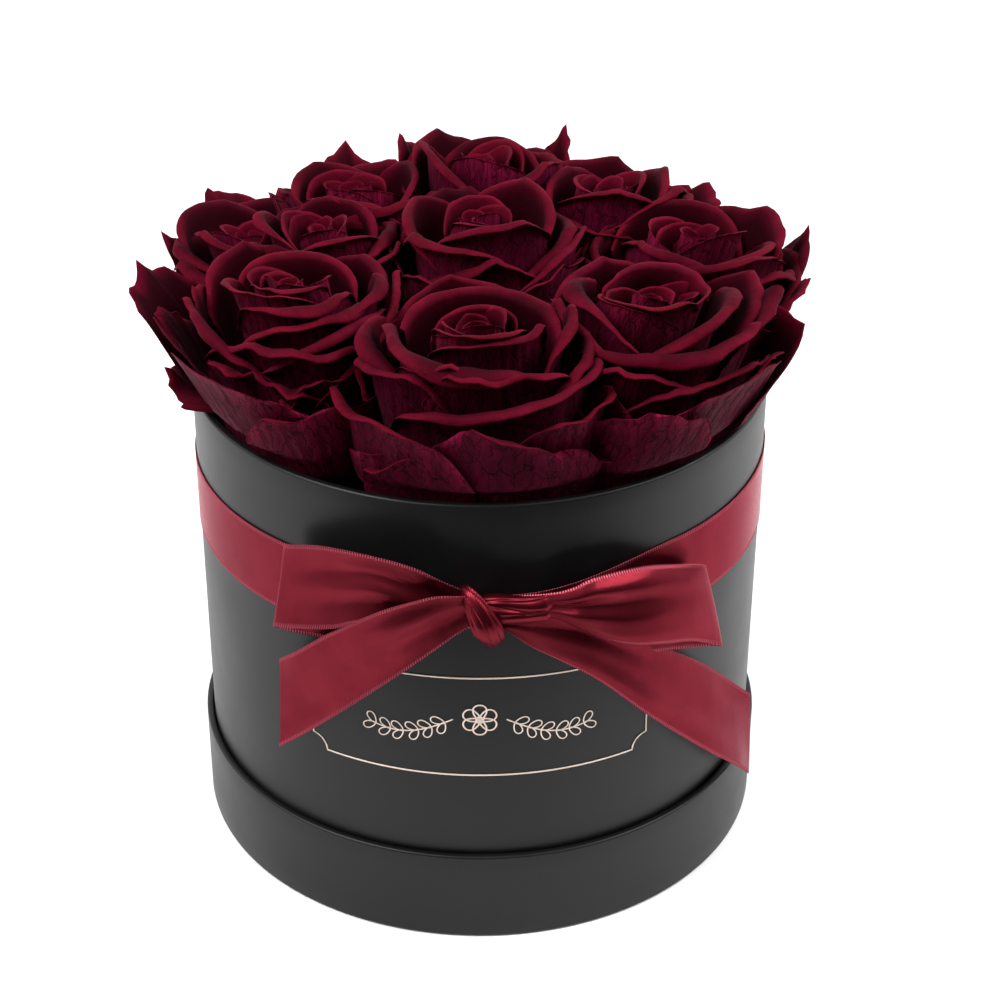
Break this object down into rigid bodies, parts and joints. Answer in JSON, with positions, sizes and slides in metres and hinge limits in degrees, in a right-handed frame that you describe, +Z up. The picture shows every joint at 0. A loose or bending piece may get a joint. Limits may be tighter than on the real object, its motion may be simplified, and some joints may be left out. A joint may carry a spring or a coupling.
{
  "type": "flower box",
  "caption": "Round black hatbox on its upturned lid, filled with domed preserved roses in dry foam and tied with a satin ribbon bow.",
  "frame": {"origin": "centre of the lid's flat underside, on the box axis, at table height", "axes": "+Z up along the box axis; the bow faces -Y; +X is to the right seen from the bow side"},
  "size_m": [0.204, 0.1957, 0.2061],
  "materials": {
    "black_paper": "matte",
    "grey_board": "matte",
    "dry_foam": "matte",
    "rose_petal": "matte",
    "stem_green": "matte",
    "burgundy_satin": "satin"
  },
  "bodies": {
    "lid": {"lid_top_paper": "black_paper", "lid_panel": "grey_board", "lid_liner_paper": "black_paper", "lid_rim": "grey_board", "lid_rim_paper": "black_paper"},
    "box": {"body_base_paper": "black_paper", "body_floor": "grey_board", "body_tube": "grey_board", "body_wrap_paper": "black_paper", "body_liner_paper": "black_paper", "floral_foam": "dry_foam", "rose_head_01": "rose_petal", "rose_stem_01": "stem_green", "rose_head_02": "rose_petal", "rose_stem_02": "stem_green", "rose_head_03": "rose_petal", "rose_stem_03": "stem_green", "rose_head_04": "rose_petal", "rose_stem_04": "stem_green", "rose_head_05": "rose_petal", "rose_stem_05": "stem_green", "rose_head_06": "rose_petal", "rose_stem_06": "stem_green", "rose_head_07": "rose_petal", "rose_stem_07": "stem_green", "rose_head_08": "rose_petal", "rose_stem_08": "stem_green", "rose_head_09": "rose_petal", "rose_stem_09": "stem_green", "rose_head_10": "rose_petal", "rose_stem_10": "stem_green", "ribbon_band": "burgundy_satin", "bow_loop_left": "burgundy_satin", "bow_loop_right": "burgundy_satin", "bow_knot": "burgundy_satin", "bow_tail_left": "burgundy_satin", "bow_tail_right": "burgundy_satin"}
  },
  "joints": [
    {"name": "box_lift", "type": "slide", "parent": "lid", "child": "box", "axis": [0, 0, 1], "range_m": [0, 0.06]}
  ]
}
